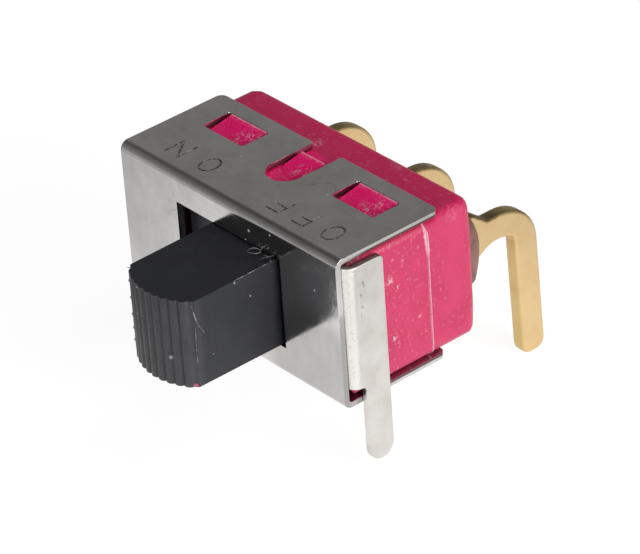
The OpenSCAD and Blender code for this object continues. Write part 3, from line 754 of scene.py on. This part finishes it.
# ---- Terminal seal ----
# Brown resin was poured round the terminals to fill the case's rear recess, and has set in a low glossy dome.
# It has crept a little over the case's rim and a short way along the terminals.
resin, start = new_material("brown_resin")
place = in_mm(start)
clouds = noise(start, place, 0.7, 4.0)
fine = noise(start, place, 5.0, 3.0)
colour = mix(start, clouds.step(0.35, 0.65), (0.27, 0.13, 0.11, 1), (0.17, 0.075, 0.06, 1))
colour = mix(start, part_of(start, place, "Z").step(4.2, 4.9) * 0.8, colour, (0.10, 0.04, 0.02, 1))
colour = mix(start, part_of(start, place, "Y").step(5.6, 6.3) * 0.6, colour, (0.16, 0.08, 0.035, 1))
bubbles = specks(start, place, 1.5, 0.06, 0.5)
height = clouds * 2.0 + fine * 0.4 - bubbles
skin = start.node("ShaderNodeBump", None, {"Strength": 0.4, "Distance": 0.05 * MM, "Height": height})
shader = start.node("ShaderNodeBsdfPrincipled", None, {
    "Base Color": colour, "Roughness": fine.step(0.3, 0.7, 0.34, 0.48) + bubbles * 0.2,
    "Specular IOR Level": 0.35,
    "Subsurface Weight": 0.1, "Subsurface Radius": (0.3 * MM, 0.15 * MM, 0.1 * MM),
    "Coat Weight": 0.08, "Normal": skin
})
finish_material(start, shader)
seal = finished_copy("terminal_seal", "resin_seal", 0.02)
seal.data.materials.append(resin)

# The dome is long and flat along the case and softly round across it, and its ends follow the case's edges.
dome_low, dome_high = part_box("terminal_seal")
half_l, half_w = dome_high.x / MM, (dome_high.z - dome_low.z) / MM / 2
dome_h, dome_lift, rim = dome_high.y / MM - rear_y, 0.15, 0.02
slice_across(seal, 0, [way * 0.1 * step for step in range(20, 60) for way in (-1, 1)])
slice_across(seal, 1, [rear_y + 0.15 * step for step in range(1, 10)])
slice_across(seal, 2, [mid_z + 0.2 * step for step in range(-9, 10)])
for vertex in seal.data.vertices:
    place = vertex.co / MM
    rise = place.y - rear_y
    if rise > 0.01:
        along = abs(place.x) / half_l
        over = abs(place.z - mid_z - dome_lift) / half_w
        crown = dome_h * max(0, 1 - along ** 6) ** 0.5 * max(0, 1 - over ** 2) ** 0.75
        place.y = rear_y + min(rise, max(crown, rim))
    if rise > -0.01:
        turned = min(max(0, abs(place.x) - (end_x - waist_r)), waist_r)
        place.y -= waist_r - (waist_r ** 2 - turned ** 2) ** 0.5
        vertex.co = place * MM
smooth_faces(seal)
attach(seal, "switch_body")
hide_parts("terminal_seal")

# ---- Plunger ----
# A turned brass pin with a round nose, which slides in the actuator's bore.
# The spring presses it against the rocker inside the case.
brass, start = new_material("turned_brass")
place = in_mm(start)
rings = noise(start, in_mm(start, (0.3, 14.0, 0.3)), 1.0, 2.0)
tarnish = noise(start, place, 1.5, 4.0)
colour = mix(start, tarnish.step(0.35, 0.7), (0.80, 0.62, 0.33, 1), (0.62, 0.45, 0.22, 1))
skin = start.node("ShaderNodeBump", None, {"Strength": 0.3, "Distance": 0.02 * MM, "Height": rings})
shader = start.node("ShaderNodeBsdfPrincipled", None, {
    "Base Color": colour, "Metallic": 1.0, "Roughness": rings.step(0.3, 0.7, 0.2, 0.34), "Normal": skin
})
finish_material(start, shader)
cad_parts["plunger"].data.materials[0] = brass

# ---- Plunger spring ----
# A coil of drawn steel spring wire, which lies in the actuator's bore ahead of the plunger.
# It sits on the plunger's spigot and pushes the plunger towards the rocker.
wire, start = new_material("drawn_wire")
place = in_mm(start)
drawn = noise(start, place, 6.0, 3.0)
colour = mix(start, drawn.step(0.35, 0.7), (0.62, 0.62, 0.63, 1), (0.48, 0.48, 0.49, 1))
skin = start.node("ShaderNodeBump", None, {"Strength": 0.2, "Distance": 0.01 * MM, "Height": drawn})
shader = start.node("ShaderNodeBsdfPrincipled", None, {
    "Base Color": colour, "Metallic": 1.0, "Roughness": drawn.step(0.3, 0.7, 0.22, 0.36), "Normal": skin
})
finish_material(start, shader)
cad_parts["plunger_spring"].data.materials[0] = wire

# ---- Rocker contact ----
# A formed strip of spring bronze, plated with gold, that rests on the middle terminal.
# The plunger tips it on to one outer terminal or the other as it passes over its middle.
contact, start = new_material("contact_plating")
place = in_mm(start)
rolled = noise(start, in_mm(start, (0.2, 3.0, 5.0)), 2.0, 3.0)
tarnish = noise(start, place, 1.2, 4.0)
colour = mix(start, tarnish.step(0.35, 0.7), (0.84, 0.64, 0.34, 1), (0.70, 0.50, 0.25, 1))
skin = start.node("ShaderNodeBump", None, {"Strength": 0.2, "Distance": 0.02 * MM, "Height": rolled})
shader = start.node("ShaderNodeBsdfPrincipled", None, {
    "Base Color": colour, "Metallic": 1.0, "Roughness": rolled.step(0.3, 0.7, 0.16, 0.3), "Normal": skin
})
finish_material(start, shader)
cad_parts["rocker_contact"].data.materials[0] = contact
